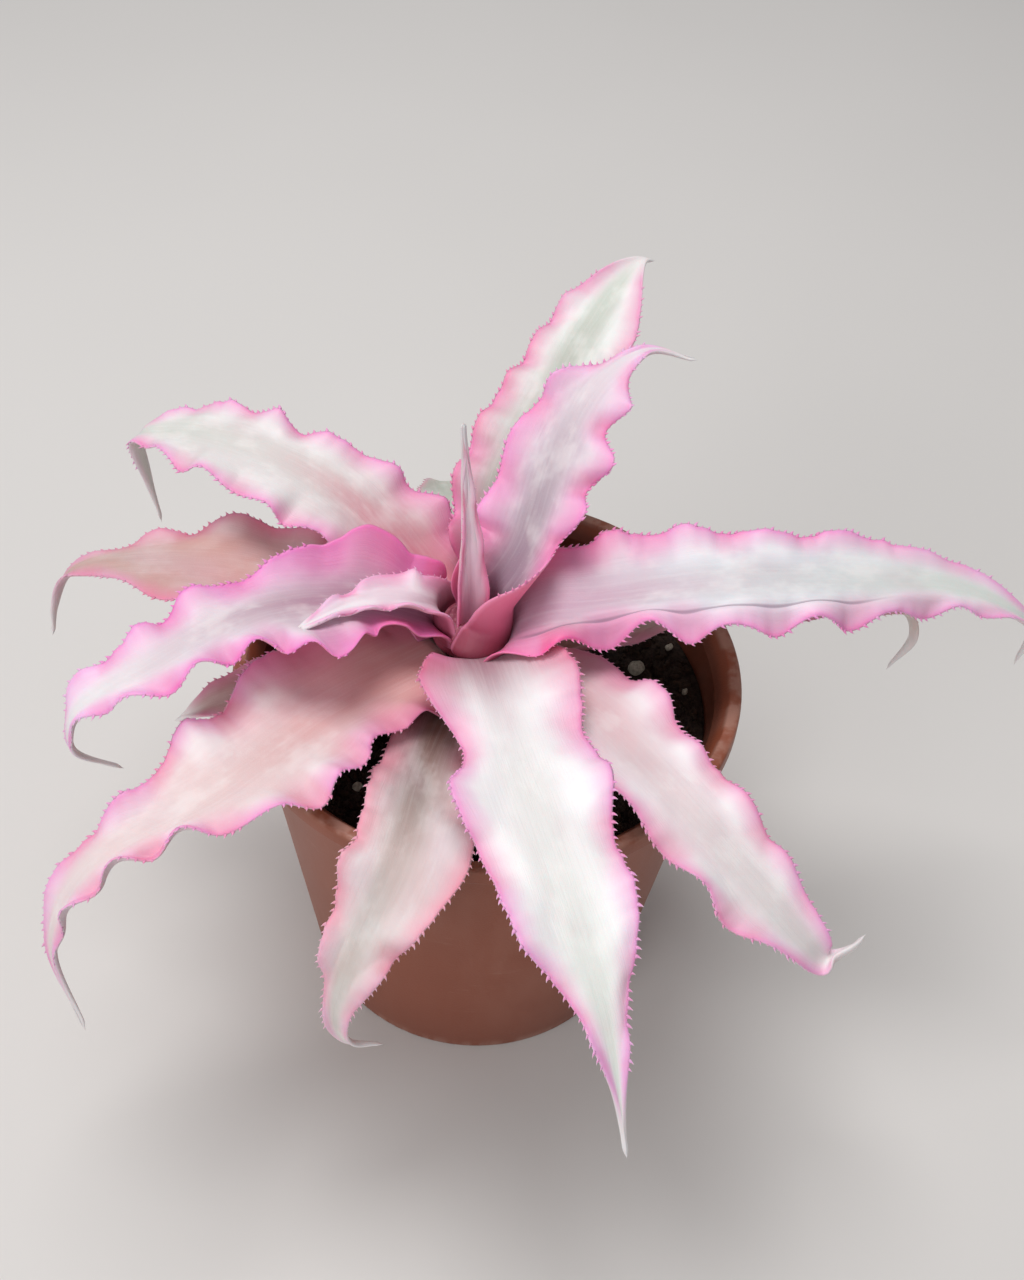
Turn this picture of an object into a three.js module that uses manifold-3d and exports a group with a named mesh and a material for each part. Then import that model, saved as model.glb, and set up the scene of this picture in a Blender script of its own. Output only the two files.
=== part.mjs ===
// Earth star plant (Cryptanthus) growing in a round plastic pot.
// Millimetres, +Z up. The origin is the centre of the pot's base on the floor, and -Y is the front.
// Pieces: the pot, its soil, the plant's stem, and one solid for each leaf.
import * as THREE from 'three';
import { mergeVertices } from 'three/addons/utils/BufferGeometryUtils.js';
import Module from 'manifold-3d';

const wasm = await Module();
wasm.setup();

const GAP = 0.3;                  // clearance between pieces that touch
const SEED = 20417;               // start of the draw that scatters the grains

// Pot: a thin tapered wall with an overhanging lip.
const POT_HEIGHT = 85;
const LIP_RADIUS = 50;
const LIP_HEIGHT = 4;             // upright outer band of the lip
const LIP_WIDTH = 2.4;            // flat top of the lip
const LIP_OVERHANG = 3.5;         // how far the lip stands out past the wall
const LIP_ROUND = 0.7;
const BASE_RADIUS = 36;
const WALL = 1.5;
const FLOOR = 2.6;
const POT_SEGMENTS = 48;
const GROOVE_INNER = 9;           // shallow ring under the base that the drain holes open into
const GROOVE_OUTER = 29;
const GROOVE_DEPTH = 1;
const DRAIN_HOLES = 6;
const DRAIN_RADIUS = 3.5;
const DRAIN_CIRCLE = 19;

// Soil: a rough cake with pumice grains half sunk in its top.
const SOIL_LEVEL = 75;
const SOIL_SEGMENTS = 36;
const SOIL_RINGS = 7;
const SOIL_CROWN = 3;             // how much higher the soil stands round the stem
const SOIL_RIPPLE = 0.7;
const GRAINS = 44;
const GRAIN_RADIUS = [1.1, 2.2];
const GRAIN_SINK = 0.35;          // share of its radius that a grain sinks below its middle

// Stem: a short upright root stock that swells into the crown between the innermost leaves.
const STEM_X = -4;
const STEM_Y = 1;
const STEM_RADIUS = 4.2;
const STEM_FOOT = 50;
const CROWN_RADIUS = 6;
const CROWN_LOW = 90;
const CROWN_TOP = 97.5;
const STEM_SEGMENTS = 20;

// Leaf: a thin toothed blade, cupped at its base, with waved edges and a tapering tail.
const STATION_PITCH = 4.5;        // length of one tooth with its share of the blade
const ACROSS = [-1, -0.55, 0, 0.55, 1];
const BLADE_THICK = 0.9;
const TIP_HALF_WIDTH = 0.35;
const COLLAR = 0.6;               // share of the base's width where the blade meets the stem
const COLLAR_ZONE = 0.08;         // share of the length over which the collar opens out
const TOOTH_LENGTH = 1.1;         // on a broad leaf
const TOOTH_SHARE = 0.05;         // of the leaf's width, on a narrow one
const TOOTH_LEAN = 0.7;           // place of the tooth's point along its station, towards the leaf's tip
const BASE_ZONE = 0.3;            // share of the length over which the base cup opens out
const WAVE_START = 0.12;
const WAVE_END = 0.25;
const WAVE_CORE = 0.35;           // inner share of the half width that stays free of waves
const WAVE_SHIFT = 1.7;           // phase between the waves of the two edges

// path: points of the midrib, each its heading round the stem (degrees, 0 is +X and -90 the front), its
//   reach from the stem's axis and its height above the floor.
// width: the full width. base: the share of it at the base. widest: where along the leaf it is reached.
// fullness: how long the blade stays broad towards its tip. roll: the turn about the midrib at the base
//   and the tip. cup: the bend across the blade at the base and beyond it. Both are in degrees.
// wave: the height, the count and the phase of the waves along the edges.
const LEAVES = {
  leaf_front: {
    path: [[-75, 6.5, 91], [-74, 30, 96.5], [-73, 53, 98], [-72, 70, 95], [-71, 85, 88], [-71, 101, 71]],
    width: 27, base: 0.85, widest: 0.38, fullness: 1.9, roll: [0, 0], cup: [12, 14], wave: [1.4, 7, 0],
  },
  leaf_front_left: {
    path: [[-150, 5, 88.5], [-138, 32, 91], [-133, 60, 93], [-135, 84, 87], [-136, 95, 74], [-131, 97, 58]],
    width: 30, base: 0.75, widest: 0.3, fullness: 1.25, roll: [0, 0], cup: [12, 14], wave: [1.8, 7, 1],
  },
  leaf_front_right: {
    path: [[-22, 5, 87.5], [-34, 27, 91], [-42, 50, 92], [-43, 69, 87], [-42, 86, 77], [-40, 91, 72],
      [-37, 91, 77]],
    width: 23, base: 0.65, widest: 0.45, fullness: 1.9, roll: [0, 0], cup: [12, 14], wave: [1.4, 7, 2],
  },
  leaf_front_low: {
    path: [[-105, 5, 83.5], [-102, 27, 87], [-99, 53, 88], [-101, 64, 80], [-103, 71, 64], [-101, 71, 56],
      [-98, 69, 54]],
    width: 24, base: 0.35, widest: 0.6, fullness: 1.7, roll: [0, 0], cup: [20, 14], wave: [1.2, 6, 0],
  },
  leaf_right: {
    path: [[2, 6.5, 94], [2, 24, 103], [3, 48, 108], [5, 72, 107], [7, 96, 102], [6, 112, 93],
      [5, 111, 84]],
    width: 26, base: 0.78, widest: 0.36, fullness: 1.9, roll: [16, 8], cup: [25, 14], wave: [2.6, 7, 1],
  },
  leaf_right_low: {
    path: [[14, 5, 85], [14, 25, 87], [14, 45, 92], [13, 70, 94], [12, 88, 90], [11, 92, 82], [9, 87, 76]],
    width: 19, base: 0.6, widest: 0.4, fullness: 1.9, roll: [0, 0], cup: [12, 14], wave: [1.2, 6, 1],
  },
  leaf_left: {
    path: [[186, 6.5, 94], [182, 20, 99.5], [192, 40, 104], [204, 62, 104], [205, 75, 97], [205, 77, 89],
      [205, 69, 81]],
    width: 23, base: 0.65, widest: 0.34, fullness: 1.9, roll: [0, 0], cup: [20, 14], wave: [2.0, 7, 1],
  },
  leaf_left_low: {
    path: [[160, 5, 86], [158, 24, 87.5], [160, 46, 92], [166, 68, 91], [170, 84, 87], [174, 89, 75]],
    width: 24, base: 0.6, widest: 0.4, fullness: 1.9, roll: [-8, 0], cup: [12, 14], wave: [1.6, 6, 1],
  },
  leaf_back_left: {
    path: [[140, 5, 89.5], [130, 22, 94.2], [138, 42, 104], [145, 62, 107], [148, 80, 101], [150, 87, 90],
      [151, 81, 80]],
    width: 23, base: 0.6, widest: 0.4, fullness: 1.9, roll: [-10, -5], cup: [20, 14], wave: [2.4, 8, 1],
  },
  leaf_back: {
    path: [[80, 6.5, 92], [80, 27, 107], [75, 48, 115], [73, 68, 120], [70, 88, 125], [68, 96, 121]],
    width: 21, base: 0.5, widest: 0.5, fullness: 3, roll: [0, 0], cup: [30, 14], wave: [1.6, 7, 1],
  },
  leaf_back_inner: {
    path: [[40, 3, 98.8], [50, 12, 107], [57, 26, 120], [58, 40, 129], [53, 49, 133], [45, 57, 131]],
    width: 20, base: 0.4, widest: 0.45, fullness: 2.2, roll: [0, 0], cup: [50, 14], wave: [1.8, 6, 1],
  },
  leaf_left_inner: {
    path: [[184, 3, 98.8], [188, 12, 102], [196, 22, 105], [197, 34, 105]],
    width: 12, base: 0.8, widest: 0.3, fullness: 1.9, roll: [0, 0], cup: [35, 14], wave: [0.6, 5, 1],
  },
  leaf_left_under: {
    path: [[205, 5, 81], [202, 25, 84], [201, 46, 87.5], [199, 62, 80]],
    width: 20, base: 0.6, widest: 0.4, fullness: 1.9, roll: [0, 0], cup: [12, 14], wave: [0.7, 6, 1],
  },
  leaf_back_low: {
    path: [[100, 5, 82], [98, 22, 86], [98, 38, 91.5], [99, 55, 85], [100, 64, 72]],
    width: 20, base: 0.6, widest: 0.4, fullness: 1.9, roll: [0, 0], cup: [12, 14], wave: [1.0, 6, 1],
  },
  leaf_heart: {
    path: [[120, 0, 98.3], [120, 2, 112], [120, 4, 126], [120, 6, 140]],
    width: 6, base: 0.8, widest: 0.3, fullness: 1.5, roll: [0, 0], cup: [50, 40], wave: [0.1, 4, 1],
  },
};

const COLOURS = {
  pot: 0x8a5040,
  soil: 0x2b241f,
  stem: 0xa8606a,
  leaf: 0xe8b8c4,
};

function ease(x) {
  const c = Math.min(Math.max(x, 0), 1);
  return c * c * (3 - 2 * c);
}

function radians(degrees) {
  return degrees * Math.PI / 180;
}

function mix(a, b, share) {
  return a + (b - a) * share;
}

// A repeatable draw of numbers from 0 to 1 (a linear congruential generator).
function makeDraw(seed) {
  let state = seed;
  return () => {
    state = (state * 1664525 + 1013904223) % 4294967296;
    return state / 4294967296;
  };
}

// ---- solids ----

function toSolid(geometry) {
  const bare = geometry.clone();
  bare.deleteAttribute('normal');
  bare.deleteAttribute('uv');
  const merged = mergeVertices(bare, 1e-4);
  return new wasm.Manifold(new wasm.Mesh({
    numProp: 3,
    vertProperties: new Float32Array(merged.attributes.position.array),
    triVerts: new Uint32Array(merged.index.array),
  }));
}

function toGeometry(solid) {
  const mesh = solid.getMesh();
  const geometry = new THREE.BufferGeometry();
  geometry.setAttribute('position', new THREE.BufferAttribute(new Float32Array(mesh.vertProperties), 3));
  geometry.setIndex(new THREE.BufferAttribute(new Uint32Array(mesh.triVerts), 1));
  geometry.computeVertexNormals();
  return geometry;
}

// A turned body about +Z from rows of [radius, height] that start and end on the axis.
function turned(profile, segments) {
  const points = profile.map(([radius, height]) => new THREE.Vector2(radius, height));
  return new THREE.LatheGeometry(points, segments).rotateX(Math.PI / 2);
}

function uprightCylinder(radius, low, high, segments) {
  const geometry = new THREE.CylinderGeometry(radius, radius, high - low, segments);
  return geometry.rotateX(Math.PI / 2).translate(0, 0, (low + high) / 2);
}

function makeMesh(name, geometry, colour, roughness) {
  const material = new THREE.MeshStandardMaterial({ color: colour, roughness, metalness: 0 });
  const mesh = new THREE.Mesh(geometry, material);
  mesh.name = name;
  return mesh;
}

// ---- pot ----

const WALL_TOP_RADIUS = LIP_RADIUS - LIP_OVERHANG;
const WALL_TOP = POT_HEIGHT - LIP_HEIGHT;

function wallRadius(height) {
  return mix(BASE_RADIUS, WALL_TOP_RADIUS, height / WALL_TOP);
}

function makePot() {
  const profile = [
    [0, 0],
    [GROOVE_INNER, 0],
    [GROOVE_INNER + GROOVE_DEPTH, GROOVE_DEPTH],
    [GROOVE_OUTER - GROOVE_DEPTH, GROOVE_DEPTH],
    [GROOVE_OUTER, 0],
    [BASE_RADIUS - LIP_ROUND, 0],
    [BASE_RADIUS, LIP_ROUND],
    [WALL_TOP_RADIUS, WALL_TOP],
    [LIP_RADIUS - LIP_ROUND, WALL_TOP],
    [LIP_RADIUS, WALL_TOP + LIP_ROUND],
    [LIP_RADIUS, POT_HEIGHT - LIP_ROUND],
    [LIP_RADIUS - LIP_ROUND, POT_HEIGHT],
    [LIP_RADIUS - LIP_WIDTH, POT_HEIGHT],
    [WALL_TOP_RADIUS - WALL, WALL_TOP],
    [wallRadius(FLOOR) - WALL, FLOOR],
    [0, FLOOR],
  ];
  let pot = toSolid(turned(profile, POT_SEGMENTS));
  for (let i = 0; i < DRAIN_HOLES; i += 1) {
    const angle = 2 * Math.PI * (i + 0.5) / DRAIN_HOLES;
    const hole = uprightCylinder(DRAIN_RADIUS, -1, FLOOR + 1, 12);
    hole.translate(DRAIN_CIRCLE * Math.cos(angle), DRAIN_CIRCLE * Math.sin(angle), 0);
    pot = pot.subtract(toSolid(hole));
  }
  return toGeometry(pot);
}

// ---- soil ----

function soilEdge(height) {
  return wallRadius(height) - WALL - GAP;
}

function soilHeight(x, y) {
  const fromStem = Math.hypot(x - STEM_X, y - STEM_Y) / LIP_RADIUS;
  const ripple = Math.sin(x * 0.41 + 1) * Math.cos(y * 0.37) + Math.sin((x + y) * 0.83);
  return SOIL_LEVEL + SOIL_CROWN * Math.exp(-fromStem * fromStem * 9) + SOIL_RIPPLE * ripple;
}

// The cake is a turned blank whose top rings are lifted to the soil's height.
function makeSoilCake() {
  const rim = soilEdge(SOIL_LEVEL);
  const foot = FLOOR + GAP;
  const profile = [[0, foot], [soilEdge(foot), foot]];
  for (let ring = SOIL_RINGS; ring >= 0; ring -= 1) {
    profile.push([rim * ring / SOIL_RINGS, SOIL_LEVEL]);
  }
  const cake = turned(profile, SOIL_SEGMENTS);
  const place = cake.attributes.position;
  for (let i = 0; i < place.count; i += 1) {
    if (place.getZ(i) < SOIL_LEVEL - 1) continue;
    const x = place.getX(i);
    const y = place.getY(i);
    const inner = 1 - ease((Math.hypot(x, y) / rim - 0.9) / 0.1);
    place.setZ(i, mix(SOIL_LEVEL - 1, soilHeight(x, y), inner));
  }
  return toSolid(cake);
}

function makeGrain(draw) {
  const reach = Math.sqrt(mix(0.05, 0.9, draw())) * soilEdge(SOIL_LEVEL);
  const angle = 2 * Math.PI * draw();
  const radius = mix(GRAIN_RADIUS[0], GRAIN_RADIUS[1], draw());
  const x = reach * Math.cos(angle);
  const y = reach * Math.sin(angle);
  const grain = new THREE.IcosahedronGeometry(radius, 0);
  grain.rotateX(draw() * Math.PI).rotateZ(draw() * Math.PI);
  return grain.translate(x, y, soilHeight(x, y) - radius * GRAIN_SINK);
}

function makeSoil() {
  const draw = makeDraw(SEED);
  let soil = makeSoilCake();
  for (let i = 0; i < GRAINS; i += 1) {
    soil = soil.add(toSolid(makeGrain(draw)));
  }
  const hole = uprightCylinder(STEM_RADIUS + GAP, STEM_FOOT - GAP, POT_HEIGHT, STEM_SEGMENTS);
  return toGeometry(soil.subtract(toSolid(hole.translate(STEM_X, STEM_Y, 0))));
}

// ---- stem ----

function makeStem() {
  const height = CROWN_TOP - CROWN_LOW;
  const profile = [
    [0, STEM_FOOT],
    [STEM_RADIUS * 0.6, STEM_FOOT],
    [STEM_RADIUS, STEM_FOOT + 3],
    [STEM_RADIUS, CROWN_LOW],
    [CROWN_RADIUS, CROWN_LOW + height * 0.45],
    [CROWN_RADIUS * 0.95, CROWN_LOW + height * 0.75],
    [CROWN_RADIUS * 0.7, CROWN_TOP],
    [0, CROWN_TOP],
  ];
  return turned(profile, STEM_SEGMENTS).translate(STEM_X, STEM_Y, 0);
}

// ---- leaves ----

function midribCurve(path) {
  const points = path.map(([heading, reach, height]) => new THREE.Vector3(
    STEM_X + reach * Math.cos(radians(heading)),
    STEM_Y + reach * Math.sin(radians(heading)),
    height,
  ));
  return new THREE.CatmullRomCurve3(points, false, 'centripetal');
}

function halfWidth(leaf, along) {
  const full = leaf.width / 2 * mix(COLLAR, 1, ease(along / COLLAR_ZONE));
  if (along < leaf.widest) return full * mix(leaf.base, 1, ease(along / leaf.widest));
  const beyond = (along - leaf.widest) / (1 - leaf.widest);
  return Math.max(full * Math.pow(1 - Math.pow(beyond, leaf.fullness), 1.5), TIP_HALF_WIDTH);
}

// The direction across the blade: level, square to the leaf's chord, then rolled about the midrib.
function makeFrames(leaf, curve) {
  const chord = curve.getPointAt(0.75).sub(curve.getPointAt(0.1));
  const level = new THREE.Vector3(-chord.y, chord.x, 0).normalize();
  return (along) => {
    const origin = curve.getPointAt(along);
    const forward = curve.getTangentAt(along);
    const across = level.clone().addScaledVector(forward, -level.dot(forward)).normalize();
    across.applyAxisAngle(forward, radians(mix(leaf.roll[0], leaf.roll[1], along)));
    return { origin, across, up: forward.clone().cross(across) };
  };
}

// A point of the blade's middle surface; side runs from -1 to 1 across it.
function bladePoint(leaf, frameAt, along, side) {
  const { origin, across, up } = frameAt(along);
  const cup = radians(mix(leaf.cup[0], leaf.cup[1], ease(along / BASE_ZONE)));
  const half = halfWidth(leaf, along);
  const [height, count, phase] = leaf.wave;
  const taper = ease(along / WAVE_START) * ease((1 - along) / WAVE_END);
  const edge = ease((Math.abs(side) - WAVE_CORE) / (1 - WAVE_CORE));
  const turn = 2 * Math.PI * count * along + phase + (side > 0 ? WAVE_SHIFT : 0);
  const lift = half * (1 - Math.cos(cup * side)) / cup + height * taper * edge * Math.sin(turn);
  return origin.addScaledVector(across, half * Math.sin(cup * side) / cup).addScaledVector(up, lift);
}

function bladeNormal(leaf, frameAt, along, side) {
  const step = 0.004;
  const a = Math.min(Math.max(along, step), 1 - step);
  const ahead = bladePoint(leaf, frameAt, a + step, side).sub(bladePoint(leaf, frameAt, a - step, side));
  const b = Math.min(Math.max(side, -0.95), 0.95);
  const across = bladePoint(leaf, frameAt, a, b + 0.05).sub(bladePoint(leaf, frameAt, a, b - 0.05));
  return ahead.cross(across).normalize();
}

// Lists the top and bottom points of the blade and its teeth, then the triangles that close them.
function makeLeaf(leaf) {
  const curve = midribCurve(leaf.path);
  curve.arcLengthDivisions = 400;
  const frameAt = makeFrames(leaf, curve);
  const stations = Math.max(5, Math.round(curve.getLength() / STATION_PITCH));
  const columns = ACROSS.length;
  const places = [];
  const faces = [];

  function addPair(middle, normal) {
    const half = BLADE_THICK / 2;
    places.push(middle.clone().addScaledVector(normal, half));
    places.push(middle.clone().addScaledVector(normal, -half));
    return places.length / 2 - 1;
  }
  const top = (pair) => 2 * pair;
  const bottom = (pair) => 2 * pair + 1;
  function addBothFaces(a, b, c) {
    faces.push([top(a), top(b), top(c)]);
    faces.push([bottom(a), bottom(c), bottom(b)]);
  }
  function addSide(a, b) {
    faces.push([top(a), bottom(a), bottom(b)]);
    faces.push([top(a), bottom(b), top(b)]);
  }

  for (let i = 0; i <= stations; i += 1) {
    for (const side of ACROSS) {
      const along = i / stations;
      addPair(bladePoint(leaf, frameAt, along, side), bladeNormal(leaf, frameAt, along, side));
    }
  }
  const pairAt = (i, j) => i * columns + j;
  for (let i = 0; i < stations; i += 1) {
    for (let j = 0; j < columns - 1; j += 1) {
      const flip = j >= (columns - 1) / 2;
      const corners = [pairAt(i, j), pairAt(i + 1, j), pairAt(i + 1, j + 1), pairAt(i, j + 1)];
      const [a, b, c, d] = flip ? [corners[1], corners[2], corners[3], corners[0]] : corners;
      addBothFaces(a, b, c);
      addBothFaces(a, c, d);
    }
  }
  for (const side of [-1, 1]) {
    const column = side < 0 ? 0 : columns - 1;
    for (let i = 0; i < stations; i += 1) {
      const near = pairAt(i, column);
      const far = pairAt(i + 1, column);
      const along = (i + TOOTH_LEAN) / stations;
      const edge = bladePoint(leaf, frameAt, along, side);
      const inside = bladePoint(leaf, frameAt, along, side * 0.9);
      const length = Math.min(TOOTH_LENGTH, TOOTH_SHARE * leaf.width) * ease((1 - along) / 0.15);
      const point = edge.clone().addScaledVector(edge.clone().sub(inside).normalize(), length);
      const tooth = addPair(point, bladeNormal(leaf, frameAt, along, side));
      if (side < 0) {
        addBothFaces(near, tooth, far);
        addSide(near, tooth);
        addSide(tooth, far);
      } else {
        addBothFaces(near, far, tooth);
        addSide(tooth, near);
        addSide(far, tooth);
      }
    }
  }
  for (let j = 0; j < columns - 1; j += 1) {
    addSide(pairAt(0, j + 1), pairAt(0, j));
    addSide(pairAt(stations, j), pairAt(stations, j + 1));
  }

  const geometry = new THREE.BufferGeometry().setFromPoints(places);
  geometry.setIndex(faces.flat());
  geometry.computeVertexNormals();
  return geometry;
}

// ---- assembly ----

const group = new THREE.Group();
group.add(makeMesh('pot', makePot(), COLOURS.pot, 0.55));
group.add(makeMesh('soil', makeSoil(), COLOURS.soil, 0.95));
group.add(makeMesh('stem', makeStem(), COLOURS.stem, 0.6));
for (const [name, leaf] of Object.entries(LEAVES)) {
  group.add(makeMesh(name, makeLeaf(leaf), COLOURS.leaf, 0.5));
}

export default group;
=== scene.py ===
import math

import bpy
from mathutils import Matrix, Vector, noise


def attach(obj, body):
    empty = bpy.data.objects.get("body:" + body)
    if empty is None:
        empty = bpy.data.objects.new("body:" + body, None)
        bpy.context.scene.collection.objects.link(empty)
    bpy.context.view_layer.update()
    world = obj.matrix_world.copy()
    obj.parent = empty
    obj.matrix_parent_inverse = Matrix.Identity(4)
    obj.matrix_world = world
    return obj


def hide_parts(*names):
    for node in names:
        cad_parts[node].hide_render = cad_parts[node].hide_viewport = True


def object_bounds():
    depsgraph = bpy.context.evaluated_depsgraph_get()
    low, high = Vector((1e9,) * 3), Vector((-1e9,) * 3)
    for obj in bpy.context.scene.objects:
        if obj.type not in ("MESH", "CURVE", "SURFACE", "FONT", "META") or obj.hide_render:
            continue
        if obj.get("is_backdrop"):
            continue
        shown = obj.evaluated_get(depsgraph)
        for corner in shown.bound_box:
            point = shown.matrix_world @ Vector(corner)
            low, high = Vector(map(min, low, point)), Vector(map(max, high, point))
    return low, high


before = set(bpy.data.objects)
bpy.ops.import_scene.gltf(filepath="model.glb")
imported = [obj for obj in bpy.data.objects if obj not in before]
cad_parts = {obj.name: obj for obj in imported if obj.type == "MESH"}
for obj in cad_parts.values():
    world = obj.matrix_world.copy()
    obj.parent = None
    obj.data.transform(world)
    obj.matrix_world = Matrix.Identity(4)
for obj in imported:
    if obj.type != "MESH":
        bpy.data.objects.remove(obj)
cad_low, cad_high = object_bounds()


# ---- Camera ----
# It looks down on the plant from the front, a forearm's length from the crown, and leans a little
# about its own line of sight.

VIEW_PLACE = (0.0042, -0.2145, 0.3158)
VIEW_DOWN = math.radians(46.2)
VIEW_LEAN = math.radians(4.1)
LENS_MM = 45
SENSOR_MM = 36

camera = bpy.data.objects.new("camera", bpy.data.cameras.new("camera"))
camera.data.lens = LENS_MM
camera.data.sensor_width = SENSOR_MM
camera.data.clip_start = 0.01
facing = Matrix.Rotation(math.pi / 2 - VIEW_DOWN, 4, "X") @ Matrix.Rotation(VIEW_LEAN, 4, "Z")
camera.matrix_world = Matrix.Translation(VIEW_PLACE) @ facing
bpy.context.scene.collection.objects.link(camera)
bpy.context.scene.camera = camera
bpy.context.scene.view_settings.view_transform = "Standard"


# ---- Floor and light ----
# A wide sheet of pale board under the pot, lit by one large soft lamp overhead and a wide,
# weaker one from the front left, with pale walls all round.

FLOOR_HALF = 3.0
FLOOR_PAINT = "#e4e2e0"
FLOOR_SPECKLE = "#dedcda"
WALL_PAINT = "#e6e5e6"
WALL_GLOW = 0.40


class Flow:
    """What leaves one socket of a node tree. A sum on it adds the nodes that work it out."""

    def __init__(self, tree, socket=None):
        self.tree = tree
        self.socket = socket

    def node(self, kind, settings, sockets, out=0):
        """Adds a node: its settings first, then the values or links of its sockets."""
        made = self.tree.nodes.new(kind)
        for setting, value in settings.items():
            setattr(made, setting, value)
        for name, value in sockets.items():
            parts = value if isinstance(value, list) else [value]
            for part in parts:
                if isinstance(part, Flow):
                    self.tree.links.new(part.socket, made.inputs[name])
                else:
                    made.inputs[name].default_value = part
        return Flow(self.tree, made.outputs[out] if len(made.outputs) else None)

    def out(self, name):
        return Flow(self.tree, self.socket.node.outputs[name])

    def math(self, operation, *values):
        """A Math node, or a Vector Math node where one of the values is a vector."""
        wide = any(isinstance(v, Flow) and v.socket.type in ("VECTOR", "RGBA") for v in values)
        kind = "ShaderNodeVectorMath" if wide else "ShaderNodeMath"
        plain = [(v,) * 3 if wide and isinstance(v, (int, float)) else v for v in values]
        return self.node(kind, {"operation": operation}, dict(enumerate(plain)))

    def __add__(self, other):
        return self.math("ADD", self, other)

    def __sub__(self, other):
        return self.math("SUBTRACT", self, other)

    def __rsub__(self, other):
        return self.math("SUBTRACT", other, self)

    def __mul__(self, other):
        return self.math("MULTIPLY", self, other)

    def __truediv__(self, other):
        return self.math("DIVIDE", self, other)

    def __pow__(self, other):
        return self.math("POWER", self, other)

    __radd__ = __add__
    __rmul__ = __mul__

    def rise(self, low, high, start=0.0, end=1.0):
        """Goes smoothly from start to end as the value goes from low to high."""
        reach = {"Value": self, "From Min": low, "From Max": high, "To Min": start, "To Max": end}
        return self.node("ShaderNodeMapRange", {"interpolation_type": "SMOOTHSTEP"}, reach)

    def blend(self, first, second):
        """One colour where the value is 0 and another where it is 1."""
        return self.node("ShaderNodeMix", {"data_type": "RGBA"}, {0: self, 6: first, 7: second}, 2)


def paint(code):
    """A colour from its six-figure screen code."""
    shares = [int(code[i:i + 2], 16) / 255 for i in (1, 3, 5)]
    return tuple(((s + 0.055) / 1.055) ** 2.4 if s > 0.04045 else s / 12.92 for s in shares) + (1.0,)


def start_finish(name):
    finish = bpy.data.materials.new(name)
    finish.use_nodes = True
    finish.node_tree.nodes.clear()
    return finish, Flow(finish.node_tree)


def end_finish(flow, sockets):
    shader = flow.node("ShaderNodeBsdfPrincipled", {}, sockets)
    flow.node("ShaderNodeOutputMaterial", {}, {"Surface": shader})


def in_metres(flow):
    return flow.node("ShaderNodeTexCoord", {}, {}, "Object")


def cloud(flow, place, scale, detail=2.0, roughness=0.5):
    """Soft random patches from 0 to 1."""
    sockets = {"Vector": place, "Scale": scale, "Detail": detail, "Roughness": roughness}
    return flow.node("ShaderNodeTexNoise", {}, sockets)


def bumps(flow, height, distance, strength=1.0):
    sockets = {"Height": height, "Distance": distance, "Strength": strength}
    return flow.node("ShaderNodeBump", {}, sockets)


def add_piece(name, mesh, finish):
    """An object at the origin, with its place in its mesh, shaded smooth."""
    piece = bpy.data.objects.new(name, mesh)
    bpy.context.scene.collection.objects.link(piece)
    mesh.materials.clear()
    mesh.materials.append(finish)
    mesh.polygons.foreach_set("use_smooth", [True] * len(mesh.polygons))
    return piece


board_finish, flow = start_finish("pale_board")
speckle = cloud(flow, in_metres(flow), 6.0)
end_finish(flow, {
    "Base Color": speckle.blend(paint(FLOOR_PAINT), paint(FLOOR_SPECKLE)),
    "Roughness": 0.85,
    "Specular IOR Level": 0.2,
})
board_mesh = bpy.data.meshes.new("board")
corners = [(x * FLOOR_HALF, y * FLOOR_HALF, 0) for x, y in ((-1, -1), (1, -1), (1, 1), (-1, 1))]
board_mesh.from_pydata(corners, [], [(0, 1, 2, 3)])
board = add_piece("board", board_mesh, board_finish)
board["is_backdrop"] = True

surround = bpy.data.worlds.new("surround")
surround.use_nodes = True
surround.node_tree.nodes["Background"].inputs["Color"].default_value = paint(WALL_PAINT)
surround.node_tree.nodes["Background"].inputs["Strength"].default_value = WALL_GLOW
bpy.context.scene.world = surround


def hang_lamp(name, place, aim, size, watts, tint):
    lamp = bpy.data.objects.new(name, bpy.data.lights.new(name, "AREA"))
    lamp.data.shape = "DISK"
    lamp.data.size = size
    lamp.data.energy = watts
    lamp.data.color = tint
    turn = (Vector(aim) - Vector(place)).to_track_quat("-Z", "Y").to_matrix().to_4x4()
    lamp.matrix_world = Matrix.Translation(place) @ turn
    bpy.context.scene.collection.objects.link(lamp)


hang_lamp("overhead_lamp", place=(-0.15, 0.10, 0.95), aim=(0, 0, 0.08), size=0.50, watts=5.0,
          tint=(1.0, 0.985, 0.97))
hang_lamp("front_lamp", place=(-0.55, -0.75, 0.55), aim=(0, 0, 0.07), size=0.6, watts=3.0,
          tint=(1.0, 0.99, 0.985))


# ---- Pot ----
# A round nursery pot moulded in one piece from terracotta-coloured plastic: a thin tapered wall,
# an overhanging lip to lift it by, and a floor with six drain holes that open into a shallow ring.

POT_HEIGHT = 0.085
LIP_RADIUS = 0.050
LIP_HEIGHT = 0.004
LIP_WIDTH = 0.0024
LIP_OVERHANG = 0.0035
BASE_RADIUS = 0.036
WALL = 0.0015
FLOOR = 0.0026
WALL_TOP = POT_HEIGHT - LIP_HEIGHT
WALL_TOP_RADIUS = LIP_RADIUS - LIP_OVERHANG
CONE_FOOT_RADIUS = 0.0362
CONE_TAPER = 0.128
RING_INNER = 0.009
RING_OUTER = 0.029
RING_DEPTH = 0.001
POT_FACETS = 144
DRAIN_HOLES = 6
DRAIN_CIRCLE = 0.019
DRAIN_RADIUS = 0.0035
HOLE_FACETS = 28
CUTTER_DEPTH = 0.012


def wall_radius(height):
    return BASE_RADIUS + (WALL_TOP_RADIUS - BASE_RADIUS) * height / WALL_TOP


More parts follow.
